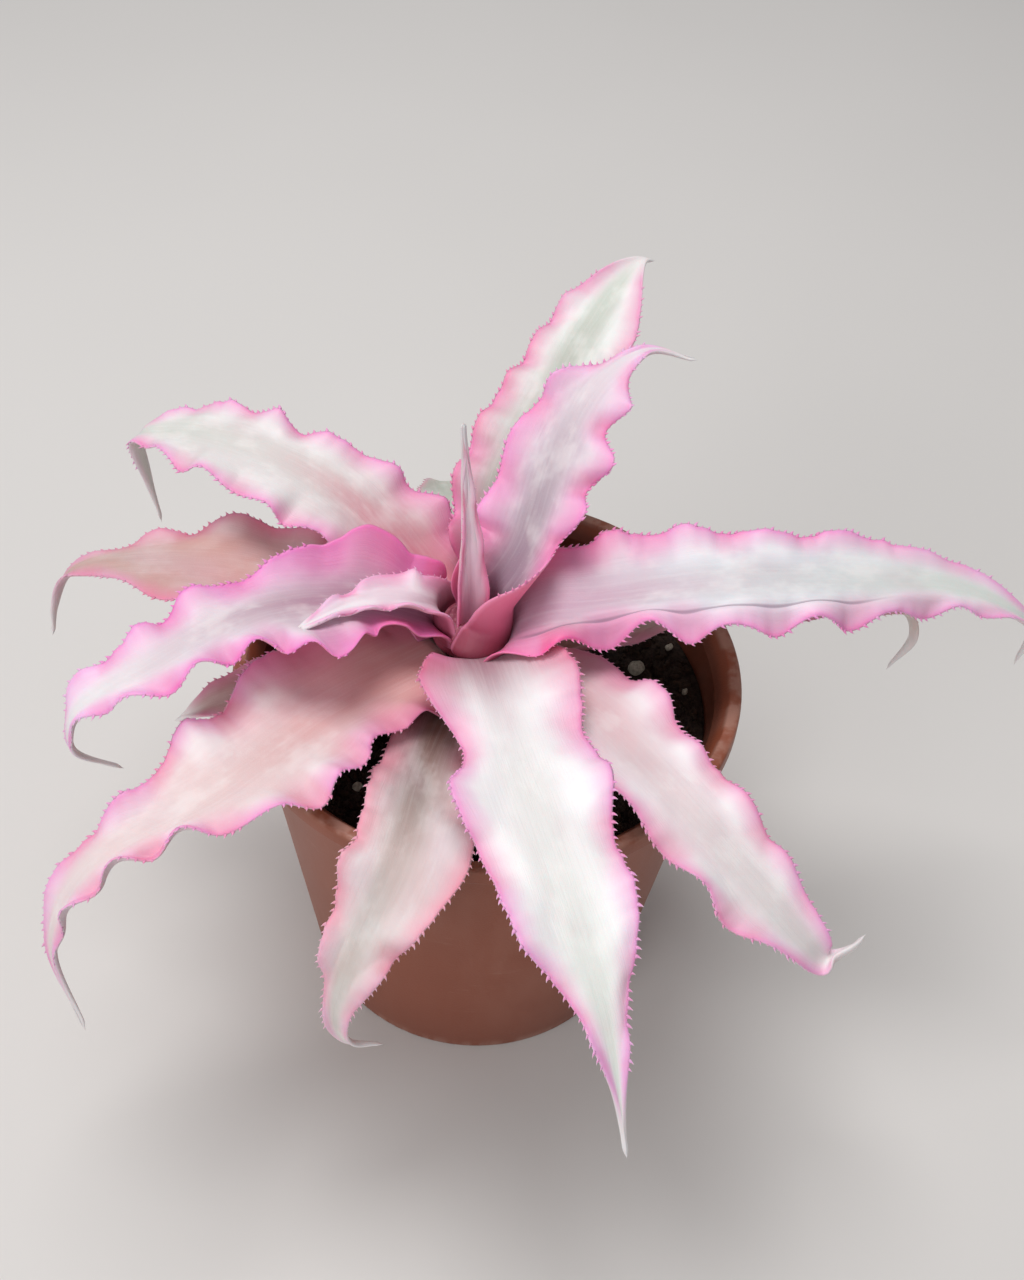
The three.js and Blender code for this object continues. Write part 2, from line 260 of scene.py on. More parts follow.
def round_off(corners, steps=4):
    """The corners of an outline, each eased into an arc of its own radius."""
    outline = []
    for before, (x, z, radius), after in zip(corners[:1] + corners, corners, corners[1:] + corners[-1:]):
        here = Vector((x, z))
        into, away = Vector(before[:2]) - here, Vector(after[:2]) - here
        if radius == 0 or into.length == 0 or away.length == 0:
            outline.append((x, z))
            continue
        into.normalize()
        away.normalize()
        cut = radius / math.tan(into.angle(away) / 2)
        start, end = here + into * cut, here + away * cut
        for step in range(steps + 1):
            share = step / steps
            bend = start.lerp(here, share).lerp(here.lerp(end, share), share)
            outline.append(tuple(bend))
    return outline


def between_rings(rings):
    """The faces from each ring of points to the next. A ring on the axis is one point, repeated."""
    faces = []
    for low, high in zip(rings, rings[1:]):
        for i in range(len(low)):
            j = (i + 1) % len(low)
            faces.append(list(dict.fromkeys((low[i], low[j], high[j], high[i]))))
    return faces


def turned(name, outline, facets, sway=None):
    """A closed body about the Z axis, from an outline that starts and ends on the axis."""
    places, rings = [], []
    for radius, height in outline:
        if radius < 1e-7:
            rings.append([len(places)] * facets)
            places.append((0, 0, height))
            continue
        rings.append(list(range(len(places), len(places) + facets)))
        for i in range(facets):
            angle = 2 * math.pi * i / facets
            grown = radius * (sway(angle, height) if sway else 1)
            places.append((grown * math.cos(angle), grown * math.sin(angle), height))
    mesh = bpy.data.meshes.new(name)
    mesh.from_pydata(places, [], between_rings(rings))
    return mesh


def start_shape(name, sizes):
    """An empty shape tree whose inputs have these names and kinds of value."""
    kinds = {float: "Float", int: "Int", tuple: "Vector", bpy.types.Material: "Material"}
    tree = bpy.data.node_groups.new(name, "GeometryNodeTree")
    tree.interface.new_socket("Shape", in_out="INPUT", socket_type="NodeSocketGeometry")
    tree.interface.new_socket("Shape", in_out="OUTPUT", socket_type="NodeSocketGeometry")
    for size, kind in sizes.items():
        tree.interface.new_socket(size, in_out="INPUT", socket_type="NodeSocket" + kinds[kind])
    return tree, Flow(tree).node("NodeGroupInput", {}, {})


def end_shape(shape, finish):
    """Turns what a tree has made into one mesh of its own, with its finish."""
    real = shape.node("GeometryNodeRealizeInstances", {}, {"Geometry": shape})
    done = shape.node("GeometryNodeSetMaterial", {}, {"Geometry": real, "Material": finish})
    shape.node("NodeGroupOutput", {}, {"Shape": done})


def grow(name, mesh, tree, sizes):
    """The plain mesh that a shape tree makes from this one at these sizes."""
    host = bpy.data.objects.new("blank", mesh)
    bpy.context.scene.collection.objects.link(host)
    modifier = host.modifiers.new("shape", "NODES")
    modifier.node_group = tree
    for item in tree.interface.items_tree:
        if item.in_out == "INPUT" and item.name in sizes:
            modifier[item.identifier] = sizes[item.name]
    bpy.context.view_layer.update()
    evaluated = host.evaluated_get(bpy.context.evaluated_depsgraph_get())
    made = bpy.data.meshes.new_from_object(evaluated)
    made.name = name
    host.modifiers.clear()
    bpy.data.objects.remove(host)
    return made


# Drain holes: upright cutters stand in a ring and are taken out of the pot's floor.
hole_tree, given = start_shape("drain_holes", {
    "Holes": int, "Circle": float, "Radius": float, "Depth": float, "Finish": bpy.types.Material,
})
ring = given.node("GeometryNodeMeshCircle", {}, {
    "Vertices": given.out("Holes"), "Radius": given.out("Circle"),
})
cutter = given.node("GeometryNodeMeshCylinder", {}, {
    "Vertices": HOLE_FACETS, "Radius": given.out("Radius"), "Depth": given.out("Depth"),
})
cutters = given.node("GeometryNodeInstanceOnPoints", {}, {"Points": ring, "Instance": cutter})
cutters = given.node("GeometryNodeRealizeInstances", {}, {"Geometry": cutters})
half_pitch = (0, 0, math.pi / DRAIN_HOLES)
cutters = given.node("GeometryNodeTransform", {}, {"Geometry": cutters, "Rotation": half_pitch})
bored = given.node("GeometryNodeMeshBoolean", {"operation": "DIFFERENCE"}, {
    "Mesh 1": given, "Mesh 2": cutters,
})
end_shape(bored, given.out("Finish"))

# Matte plastic: dusty and scuffed in drifts, worn pale at the lip and the foot, the pale lip also a
# painted highlight. Painted shade darkens it inside, which is told from how far a place is within a cone
# that just clears the wall.
pot_finish, flow = start_finish("terracotta_plastic")
place = in_metres(flow)
apart = flow.node("ShaderNodeSeparateXYZ", {}, {"Vector": place})
height = apart.out("Z")
clouds = cloud(flow, place, 34.0, 3.0)
drift = cloud(flow, place * (1.0, 1.0, 0.12), 260.0, 3.0)
grain = cloud(flow, place, 2600.0, 2.0)
scuffs = cloud(flow, place * (1.0, 1.0, 5.0), 90.0, 4.0, 0.7).rise(0.62, 0.75)
dust = (clouds * 0.7 + drift * 0.3).rise(0.46, 0.72)
# The pale band on top of the lip is wear, and also a painted highlight along its edge.
lip_wear_and_highlight = height.rise(POT_HEIGHT - 0.0012, POT_HEIGHT) * drift.rise(0.35, 0.6)
foot_wear = height.rise(0.0040, 0.0) * drift.rise(0.4, 0.6)
cone_radius = height * CONE_TAPER + CONE_FOOT_RADIUS
past_cone = (apart.out("X") ** 2.0 + apart.out("Y") ** 2.0) ** 0.5 - cone_radius
tone = clouds.blend(paint("#87462f"), paint("#97523a"))
tone = (dust * 0.35).blend(tone, paint("#a8796b"))
tone = (scuffs * 0.22).blend(tone, paint("#b58a7c"))
tone = ((lip_wear_and_highlight + foot_wear) * 0.45).blend(tone, paint("#c09a8c"))
# Painted shade: the inside of the pot is darkened, more so the further in a place lies.
tone = (past_cone.rise(0.0, -0.0012) * 0.5).blend(tone, paint("#4a2a22"))
end_finish(flow, {
    "Base Color": tone,
    "Roughness": dust * 0.16 + grain * 0.06 + 0.42,
    "Specular IOR Level": 0.45,
    "Normal": bumps(flow, grain * 0.6 + drift * 0.6 + clouds, 0.00012, 0.55),
})

# Radius, height and easing of each corner: out under the base, up the wall, over the lip, back inside.
pot_outline = round_off([
    (0.0, 0.0, 0),
    (RING_INNER, 0.0, 0.0003),
    (RING_INNER + RING_DEPTH, RING_DEPTH, 0.0003),
    (RING_OUTER - RING_DEPTH, RING_DEPTH, 0.0003),
    (RING_OUTER, 0.0, 0.0003),
    (BASE_RADIUS, 0.0, 0.0009),
    (WALL_TOP_RADIUS, WALL_TOP, 0.0007),
    (LIP_RADIUS, WALL_TOP, 0.0007),
    (LIP_RADIUS, POT_HEIGHT, 0.0009),
    (LIP_RADIUS - LIP_WIDTH, POT_HEIGHT, 0.0007),
    (WALL_TOP_RADIUS - WALL, WALL_TOP, 0.0012),
    (wall_radius(FLOOR) - WALL, FLOOR, 0.0025),
    (0.0, FLOOR, 0),
])
pot_mesh = grow("pot", turned("pot_blank", pot_outline, POT_FACETS), hole_tree, {
    "Holes": DRAIN_HOLES, "Circle": DRAIN_CIRCLE, "Radius": DRAIN_RADIUS, "Depth": CUTTER_DEPTH,
    "Finish": pot_finish,
})
pot = add_piece("moulded_pot", pot_mesh, pot_finish)
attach(pot, "root")
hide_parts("pot")


# ---- Soil ----
# Dark potting mix that fills the pot to a finger's width below the lip, a little higher round the
# stem: crumbs, chips of bark and pale pumice, all loose. The cake is their bed.

SOIL_LEVEL = 0.075
SOIL_CROWN = 0.003
SOIL_GAP = 0.0003
SOIL_RIPPLE = 0.0007
SOIL_CRUMB = 0.0006
EDGE_DROP = 0.001
STEM_X = -0.004
STEM_Y = 0.001
SOIL_RINGS = 70
SOIL_FACETS = 150


def soil_height(x, y):
    from_stem = math.hypot(x - STEM_X, y - STEM_Y) / LIP_RADIUS
    mm_x, mm_y = x * 1000, y * 1000
    ripple = math.sin(mm_x * 0.41 + 1) * math.cos(mm_y * 0.37) + math.sin((mm_x + mm_y) * 0.83)
    crumbs = noise.fractal(Vector((mm_x * 0.5, mm_y * 0.5, 3.0)), 0.8, 2.0, 4)
    mound = SOIL_CROWN * math.exp(-9 * from_stem ** 2)
    return SOIL_LEVEL + mound + SOIL_RIPPLE * ripple + SOIL_CRUMB * crumbs


def soil_cake():
    """A closed cake: a wall up from the pot's floor, and a rough top."""
    foot = FLOOR + SOIL_GAP
    rim = wall_radius(SOIL_LEVEL) - WALL - SOIL_GAP
    places = [(0, 0, foot)]
    rings = [[0] * SOIL_FACETS]
    sizes = [(wall_radius(foot) - WALL - SOIL_GAP, foot)]
    sizes += [(rim * i / SOIL_RINGS, None) for i in range(SOIL_RINGS, 0, -1)]
    for radius, level in sizes:
        rings.append(list(range(len(places), len(places) + SOIL_FACETS)))
        for i in range(SOIL_FACETS):
            angle = 2 * math.pi * i / SOIL_FACETS
            x, y = radius * math.cos(angle), radius * math.sin(angle)
            share = min(max((radius / rim - 0.9) / 0.1, 0), 1)
            edge = share * share * (3 - 2 * share)
            top = soil_height(x, y) * (1 - edge) + (SOIL_LEVEL - EDGE_DROP) * edge
            places.append((x, y, top if level is None else level))
    rings.append([len(places)] * SOIL_FACETS)
    places.append((0, 0, soil_height(0, 0)))
    mesh = bpy.data.meshes.new("soil_cake")
    mesh.from_pydata(places, [], between_rings(rings))
    return mesh


def earth_finish(name, dark, light, fleck, gloss, size):
    """A crumbly matte finish in two shades, with flecks of a third."""
    finish, flow = start_finish(name)
    place = in_metres(flow)
    lumps = cloud(flow, place, size, 4.0, 0.65)
    specks = cloud(flow, place, size * 3.1, 3.0, 0.7)
    tone = lumps.rise(0.35, 0.65).blend(paint(dark), paint(light))
    tone = (specks.rise(0.60, 0.72) * 0.7).blend(tone, paint(fleck))
    end_finish(flow, {
        "Base Color": tone,
        "Roughness": specks * 0.2 + gloss,
        "Specular IOR Level": 0.3,
        "Normal": bumps(flow, lumps + specks * 0.6, 0.0006, 0.9),
    })
    return finish


BITS_REACH = 0.0425
BITS_DEPTH = 0.004

# Loose bits lie on the soil: each is a lumpy ball, squashed to its proportions and turned at random.
# They are strewn over the mesh, or where the density is 0 there is one on each of its points, of the
# size kept there.
bits_tree, given = start_shape("loose_bits", {
    "Density": float, "Smallest": float, "Largest": float, "Proportions": tuple, "Lumps": float,
    "Facets": int, "Reach": float, "Seed": int, "Finish": bpy.types.Material,
})
where = given.node("GeometryNodeInputPosition", {}, {})
flat = where * (1.0, 1.0, 0.0)
from_middle = given.node("ShaderNodeVectorMath", {"operation": "LENGTH"}, {0: flat}, "Value")
level = given.node("ShaderNodeSeparateXYZ", {}, {"Vector": where}).out("Z")
near = given.math("LESS_THAN", from_middle, given.out("Reach"))
on_top = near * given.math("GREATER_THAN", level, SOIL_LEVEL - BITS_DEPTH)
spots = given.node("GeometryNodeDistributePointsOnFaces", {}, {
    "Mesh": given, "Selection": on_top, "Density": given.out("Density"), "Seed": given.out("Seed"),
})
chosen = given.node("GeometryNodeMeshToPoints", {}, {
    "Mesh": given, "Selection": given.math("LESS_THAN", given.out("Density"), 1.0),
})
ball = given.node("GeometryNodeMeshIcoSphere", {}, {"Radius": 1.0, "Subdivisions": given.out("Facets")})
turns = given.node("FunctionNodeRandomValue", {"data_type": "FLOAT_VECTOR"}, {
    "Min": (0, 0, 0), "Max": (math.tau,) * 3, "Seed": given.out("Seed"),
})
bulk = given.node("FunctionNodeRandomValue", {"data_type": "FLOAT"}, {
    2: given.out("Smallest"), 3: given.out("Largest"), "Seed": given.out("Seed") + 7.0,
}, 1)
bulk = given.math("MAXIMUM", bulk, given.node("GeometryNodeInputNamedAttribute", {}, {"Name": "bulk"}))
spots = given.node("GeometryNodeJoinGeometry", {}, {"Geometry": [spots, chosen]})
bits = given.node("GeometryNodeInstanceOnPoints", {}, {
    "Points": spots, "Instance": ball, "Scale": given.out("Proportions") * bulk,
    "Rotation": given.node("FunctionNodeEulerToRotation", {}, {"Euler": turns}),
})
bits = given.node("GeometryNodeRealizeInstances", {}, {"Geometry": bits})
dents = (cloud(given, where, 700.0, 1.0).out("Color") - 0.5) * given.out("Lumps")
bits = given.node("GeometryNodeSetPosition", {}, {"Geometry": bits, "Offset": dents})
end_shape(bits, given.out("Finish"))

cake_finish = earth_finish("wet_peat", "#241916", "#3e3028", "#5a4c40", 0.72, 900.0)
bark_finish = earth_finish("bark_chip", "#251914", "#453124", "#66503d", 0.66, 1400.0)
pumice_finish = earth_finish("pumice", "#b0a898", "#d6cfc0", "#7d766a", 0.8, 1500.0)
crumb_finish = earth_finish("peat_crumb", "#271c17", "#46372c", "#766857", 0.75, 1800.0)
cake_mesh = soil_cake()

# Pumice: across, back and radius in millimetres. The last is a speck that clings to the lip.
PUMICE = [(30.1, 10.2, 1.9), (37, 17, 1.0), (40, 5, 0.8), (24, -33, 1.2), (-23, -26, 1.1),
          (-17, -20, 1.4), (15, 38, 1.3), (-30, 10, 1.6), (-12, 34, 1.3), (33, -20, 1.0),
          (-36, -8, 1.2), (6, 41, 1.0), (28, 27, 1.2), (-26, 28, 1.4), (20, 24, 0.9), (46.9, 0.9, 0.6)]
PUMICE_LIFT = 0.0004
SPECK_HEIGHT = 0.0824
pumice_places = []
for x, y, radius in PUMICE:
    pumice_places.append((x / 1000, y / 1000, soil_height(x / 1000, y / 1000) + PUMICE_LIFT))
pumice_places[-1] = (*pumice_places[-1][:2], SPECK_HEIGHT)
pumice_spots = bpy.data.meshes.new("pumice_spots")
pumice_spots.from_pydata(pumice_places, [], [])
sizes = [radius / 1000 for x, y, radius in PUMICE]
pumice_spots.attributes.new("bulk", "FLOAT", "POINT").data.foreach_set("value", sizes)

# Each kind's bed, finish, number on a square metre, smallest and largest radius, proportions, lumps,
# facets and seed.
LOOSE_BITS = {
    "bark_chips": (cake_mesh, bark_finish, 150000.0, 0.0008, 0.0021, (1.0, 0.62, 0.36), 0.0009, 2, 41),
    "pumice_grains": (pumice_spots, pumice_finish, 0.0, 0.0, 0.0001, (1.0, 0.85, 0.75), 0.0009, 3, 12),
    "soil_crumbs": (cake_mesh, crumb_finish, 420000.0, 0.0003, 0.0009, (1.0, 0.8, 0.7), 0.0005, 1, 23),
}
for name, kind in LOOSE_BITS.items():
    bed, finish, density, smallest, largest, proportions, lumps, facets, seed = kind
    bits_mesh = grow(name, bed, bits_tree, {
        "Density": density, "Smallest": smallest, "Largest": largest, "Proportions": proportions,
        "Lumps": lumps, "Facets": facets, "Reach": BITS_REACH, "Seed": seed, "Finish": finish,
    })
    if "bulk" in bits_mesh.attributes:
        bits_mesh.attributes.remove(bits_mesh.attributes["bulk"])
    piece = add_piece(name, bits_mesh, finish)
    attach(piece, "root")
cake = add_piece("soil_bed", cake_mesh, cake_finish)
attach(cake, "root")
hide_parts("soil")


# ---- Stem ----
# The short root stock stands in the soil and swells into the crown between the innermost leaves,
# where the bases of the youngest leaves are wrapped round each other like a bud.

STEM_RADIUS = 0.0042
STEM_FOOT = 0.050
CROWN_RADIUS = 0.006
CROWN_LOW = 0.090
CROWN_TOP = 0.0975
CROWN_FOLDS = 3
FOLD_DEPTH = 0.16
CROWN_STEP = 0.0006


def crown_sway(angle, height):
    """Three wrapped leaf bases, each lapping over the next, on the crown alone."""
    share = min(max((height - CROWN_LOW) / (CROWN_TOP - CROWN_LOW), 0), 1)
    wrap = (angle * CROWN_FOLDS / math.tau + share * 0.35) % 1
    ring = 1 + 0.03 * math.sin(height * 2600 + 2 * math.sin(angle * 2))
    return ring * (1 - FOLD_DEPTH * share * wrap)


crown_rise = CROWN_TOP - CROWN_LOW
stem_outline = round_off([
    (0.0, STEM_FOOT, 0),
    (STEM_RADIUS * 0.6, STEM_FOOT, 0.0006),
    (STEM_RADIUS, STEM_FOOT + 0.003, 0.0006),
    (STEM_RADIUS, CROWN_LOW, 0.0012),
    (CROWN_RADIUS, CROWN_LOW + crown_rise * 0.45, 0.0009),
    (CROWN_RADIUS * 0.95, CROWN_LOW + crown_rise * 0.75, 0.0008),
    (CROWN_RADIUS * 0.7, CROWN_TOP, 0.0008),
    (CROWN_RADIUS * 0.3, CROWN_TOP - 0.001, 0.0004),
    (0.0, CROWN_TOP - 0.0025, 0),
], 5)
fine_outline = []
for (r0, z0), (r1, z1) in zip(stem_outline, stem_outline[1:]):
    cuts = max(1, math.ceil(math.hypot(r1 - r0, z1 - z0) / CROWN_STEP))
    fine_outline += [(r0 + (r1 - r0) * i / cuts, z0 + (z1 - z0) * i / cuts) for i in range(cuts)]
fine_outline.append(stem_outline[-1])

crown_finish, flow = start_finish("crown_skin")
place = in_metres(flow)
height = flow.node("ShaderNodeSeparateXYZ", {}, {"Vector": place}).out("Z")
streaks = cloud(flow, place * (1.0, 1.0, 0.25), 900.0, 3.0, 0.6)
tone = height.rise(0.086, 0.094).blend(paint("#7a5244"), paint("#b0586c"))
tone = height.rise(0.0955, 0.0978).blend(tone, paint("#8c3f55"))
tone = (streaks.rise(0.45, 0.7) * 0.5).blend(tone, paint("#d79aa6"))
end_finish(flow, {
    "Base Color": tone,
    "Roughness": streaks * 0.2 + 0.4,
    "Subsurface Weight": 0.1,
    "Subsurface Scale": 0.001,
    "Normal": bumps(flow, streaks, 0.0003, 0.6),
})
stem_mesh = turned("stem", fine_outline, 72, crown_sway)
stem_mesh.transform(Matrix.Translation((STEM_X, STEM_Y, 0)))
stem = add_piece("crown_stem", stem_mesh, crown_finish)
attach(stem, "root")
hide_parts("stem")


# ---- Leaves ----
# Fleshy tapering blades whose bases sheathe the stem, lowest first. Each is channelled at its base,
# waved and frilled along its margins, edged with soft hooked spines, and ends in a thin curling tail.

# path: points of the midrib, each with its heading round the stem in degrees (0 is +X, -90 the
#   front), its reach from the stem and its height above the floor in millimetres.
# left, right: half widths in millimetres at every tenth of the length, as seen looking out along the
#   leaf from the stem.
# turn: roll at the base and the tip, cup of the sheath's left and right half and of the blade, in
#   degrees, and where the sheath ends as a share of the length. opens: the share of the sheath where
#   it starts to unroll.
# waves of the left and the right margin: height and scallop in millimetres, count, start in degrees,
#   how far out the waves begin, and how far the margin hangs down in millimetres.
# frill: height of the small crimps in millimetres. curl: how far the left margin turns up far out.
# swell_highlight: how white the blade is painted where it swells beside the margin, a painted highlight.
#   flame: colour of the margin where it dips. dusk: share of the length over which the darker colour of
#   the base fades out; that colour is partly the leaf's own and partly painted shade near the crown.
# blush: how far the margin's colour reaches in, in millimetres. stripe: strength of the green midrib
#   band. tan: strength of the brown of an old blade, partly painted shade on a blade sheltered under
#       others.
# skin: colours of the middle at the base, half way and far out, and of the margin at the same three.
LEAVES = {
    "leaf_front": {
        "path": [[-75, 6.2, 88], [-75, 7.5, 92.5], [-75, 14, 95.6], [-74, 30, 96.8], [-73, 53, 98],
                 [-72, 70, 95], [-71, 85, 88], [-71, 101, 71]],
        "left": (9.5, 14.5, 15.6, 14.4, 13.9, 13, 11.3, 8.7, 3.7, 1.3),
        "right": (10, 11, 11, 10.6, 11.8, 13.5, 9.5, 7.8, 3.8, 1.1),
        "turn": (0, 0, 50, 50, 14, 0.16),
        "left wave": (1.3, 0.8, 4.2, -150, 0.35, 0), "right wave": (1.3, 1.4, 4.2, -137, 0.35, 0),
        "frill": 0.9, "blush": 4.6, "stripe": 0.3, "tan": 0.0,
        "swell_highlight": 0.9, "flame": "#f08fbe", "dusk": 0.22,
        "skin": ("#a47886", "#f6f2f4", "#f4f8f4", "#d8708c", "#f7a4da", "#f5b2e2"),
    },
    "leaf_front_left": {
        "path": [[-150, 5, 88.5], [-138, 32, 91], [-133, 60, 93], [-137, 84, 87], [-136.5, 93.5, 75],
                 [-131, 95.5, 58]],
        "left": (10, 14, 11, 14, 13.6, 8, 5.2, 5, 3, 1.2),
        "right": (10, 15.5, 18, 16.5, 14, 13.8, 7.2, 5.4, 2.8, 1.2),
        "turn": (0, 0, 12, 12, 14, 0.3),
        "left wave": (1.4, -0.8, 9.5, 0, 0.4, 0), "right wave": (1.4, 0.6, 6, -148, 0.35, 0),
        "frill": 0.9, "blush": 5.0, "stripe": 0.1, "tan": 0.1,
        "curl": 1.5, "swell_highlight": 0.55, "flame": "#ec8cae", "dusk": 0.42,
        "skin": ("#dda5a3", "#e8d0d2", "#e8dadc", "#cf6f8e", "#f49cd2", "#eeaed8"),
    },
    "leaf_front_right": {
        "path": [[-22, 5, 87.5], [-34, 27, 91], [-42, 50, 92], [-43, 69, 87.5], [-42, 85, 79.5],
                 [-40.5, 89, 75.5], [-38.5, 91.3, 78], [-37.5, 92.5, 82.5]],
        "left": (8, 10, 11.5, 12.5, 10.3, 10.3, 9.6, 8.2, 6, 3),
        "right": (8, 9, 9.4, 11.2, 11, 9.7, 10.4, 9.8, 6.8, 3.2),
        "turn": (0, 0, 12, 12, 14, 0.3),
        "left wave": (0.8, 0.2, 7, 60, 0.4, 0), "right wave": (1.2, -0.8, 5.5, -99, 0.4, 0),
        "frill": 0.8, "blush": 4.4, "stripe": 0.2, "tan": 0.0,
        "swell_highlight": 0.6, "flame": "#ee8fb4", "dusk": 0.45,
        "skin": ("#e8b6be", "#f2e0e6", "#e9e2e4", "#d4708a", "#f69ecc", "#f2acda"),
    },
    "leaf_front_low": {
        "path": [[-105, 5, 83.5], [-102.5, 27, 87], [-100.5, 53, 88], [-103, 64, 80], [-105, 71, 64],
                 [-103, 71, 56], [-98, 69, 54]],
        "left": (8, 9, 10, 11, 12.4, 13.3, 9.7, 7, 4.3, 2.2),
        "right": (7, 7, 7, 8.5, 8, 8, 7.4, 5.2, 2.8, 1.6),
        "turn": (0, 0, 20, 20, 14, 0.3),
        "left wave": (1.0, 0.4, 7, 20, 0.4, 0), "right wave": (1.0, 0.5, 6, 0, 0.4, 0),
        "frill": 0.8, "blush": 4.0, "stripe": 0.4, "tan": 0.3,
        "swell_highlight": 0.35, "flame": "#ee98ae", "dusk": 0.55,
        "skin": ("#6e4b3f", "#dcc8cc", "#ece0de", "#b06a70", "#f2a6ba", "#efbcd4"),
    },
    "leaf_right": {
        "path": [[2, 7.2, 90], [2, 8.4, 96.8], [2, 14, 101], [2, 24, 103], [3, 48, 108], [5, 72, 107],
                 [7, 96, 102], [6, 111, 93], [5, 110, 84]],
        "left": (8, 10.5, 13, 13, 11.5, 10.5, 10.5, 7.9, 5.3, 2.5),
        "right": (12, 13.2, 8, 8.7, 10, 9.3, 7.8, 6, 5.4, 3.2),
        "turn": (12, 8, 45, 88, 14, 0.16),
        "left wave": (0.9, 0.1, 8.3, 138, 0.6, 0), "right wave": (2.3, -0.8, 8, 45, 0.55, 2.4),
        "frill": 0.9, "blush": 4.6, "stripe": 0.3, "tan": 0.0,
        "swell_highlight": 0.5, "flame": "#f48ac2", "dusk": 0.4,
        "skin": ("#c49bb2", "#dcdce4", "#e6ece9", "#ff4f9a", "#f79fd6", "#f5b4e0"),
    },
    "leaf_right_low": {
        "path": [[14, 5, 85], [14, 25, 87], [14, 45, 92], [13, 70, 94], [12, 88, 90], [11, 92, 82],
                 [9, 87, 76]],
        "left": (6, 7, 8, 9, 9.5, 9.3, 8.5, 7, 4.5, 2),
        "right": (4, 4, 4, 4.5, 5.5, 6.5, 7, 6.5, 4.5, 2),
        "turn": (0, 0, 12, 12, 14, 0.3),
        "left wave": (1.2, 0.3, 6, 155, 0.35, 0), "right wave": (1.2, 0.3, 6, 57, 0.35, 0),
        "frill": 0.6, "blush": 3.0, "stripe": 0.4, "tan": 0.5,
        "swell_highlight": 0.2, "flame": "#d88ea8", "dusk": 0.3,
        "skin": ("#8a6058", "#b08c84", "#b9a49a", "#9c6464", "#cf90a2", "#c9a39c"),
    },
    "leaf_left": {
        "path": [[186, 6.2, 90], [186, 8, 95], [184, 13, 97.6], [183, 20, 99.5], [194, 40, 104],
                 [204.5, 61, 104], [204.5, 75, 97], [205, 77, 88], [205.5, 69, 80]],
        "left": (5, 8, 13, 18.3, 12.4, 8.4, 7.8, 5.2, 2.4, 0.9),
        "right": (9, 15, 14.2, 11.8, 8.4, 9.2, 8.6, 6.6, 3.6, 1.1),
        "turn": (0, 0, 30, 66, 14, 0.55),
        "left wave": (1.2, -0.5, 9, 35, 0.4, 0), "right wave": (1.2, 0.65, 7, -29, 0.35, 0),
        "frill": 0.8, "blush": 7.6, "stripe": 0.2, "tan": 0.0,
        "swell_highlight": 0.6, "flame": "#f07cc0", "dusk": 0.5,
        "skin": ("#a86c8a", "#e2d2de", "#f2ecf2", "#ff74b4", "#f68fd4", "#f7c4ec"),
    },
    "leaf_left_low": {
        "path": [[160, 5, 86], [158, 24, 87.5], [160, 46, 92], [166, 68, 91], [170, 82.5, 87.5],
                 [172.5, 86, 80], [174, 87, 73]],
        "left": (8, 9, 10, 11, 13, 14, 14.3, 9, 4, 2),
        "right": (8, 9, 10, 11, 10.5, 9.8, 7.2, 4.4, 2.2, 1.8),
        "turn": (-8, 0, 12, 12, 14, 0.3),
        "left wave": (1.2, -0.6, 6, -11, 0.4, 0), "right wave": (1.4, 0.5, 7, -115, 0.4, 0),
        "frill": 0.8, "blush": 4.4, "stripe": 0.1, "tan": 0.8,
        "swell_highlight": 0.25, "flame": "#e47d9c", "dusk": 0.3,
        "skin": ("#b98484", "#cf9fa0", "#c9b0ae", "#d07886", "#e88cae", "#dba2bc"),
    },
    "leaf_back_left": {
        "path": [[140, 5, 89.5], [130, 22, 94.2], [138, 42, 104], [145, 62, 107], [148, 78, 103],
                 [149.5, 84, 100], [150, 82.5, 90], [151, 79, 80]],
        "left": (8, 9, 10, 11.5, 14, 13.5, 12, 8.3, 3.6, 1.4),
        "right": (9, 12.5, 14, 11.6, 9.5, 8.2, 8.6, 7.2, 3.4, 1.3),
        "turn": (-10, -5, 20, 20, 14, 0.3),
        "left wave": (1.4, -0.8, 7.7, -64, 0.4, 0), "right wave": (1.1, 0.5, 9.5, 94, 0.55, 0),
        "frill": 0.9, "blush": 3.8, "stripe": 0.3, "tan": 0.0,
        "swell_highlight": 0.4, "flame": "#ee8cbc", "dusk": 0.42,
        "skin": ("#d4627e", "#e0dadb", "#dadcd8", "#e07aa6", "#f59fd4", "#efacd8"),
    },
    "leaf_back": {
        "path": [[80, 6.5, 92], [80, 27, 107], [75, 48, 115], [73, 68, 120], [70, 88, 125],
                 [68.5, 91, 124.2]],
        "left": (4, 6.5, 9.6, 10.3, 10.6, 10, 9.3, 9, 7.2, 4.2),
        "right": (4, 5, 8, 9, 10, 11, 11.5, 11, 9, 5),
        "turn": (0, 0, 30, 30, 14, 0.3),
        "left wave": (1.0, 0.3, 8, 30, 0.4, 0), "right wave": (1.4, 0.4, 7, 60, 0.4, 0),
        "frill": 0.7, "blush": 5.2, "stripe": 0.9, "tan": 0.0,
        "swell_highlight": 0.4, "flame": "#ea86b8", "dusk": 0.62,
        "skin": ("#806a66", "#dfe0dc", "#eceeec", "#c8608a", "#f08fb8", "#eda8cc"),
    },
    "leaf_back_inner": {
        "path": [[40, 6.2, 90], [40, 6.2, 97.5], [38, 6.4, 101.5], [34, 8, 104.2], [38, 12, 109],
                 [57, 26, 120], [58, 40, 129], [53, 49, 133], [45, 57, 131]],
        "left": (11, 10.8, 10.6, 11, 10, 10, 9, 5.8, 1.8, 1.2),
        "right": (20.5, 20, 12.4, 8.2, 9, 11.3, 8.5, 9, 4.2, 1.3),
        "turn": (0, 0, 100, 200, 16, 0.36), "opens": 0.2,
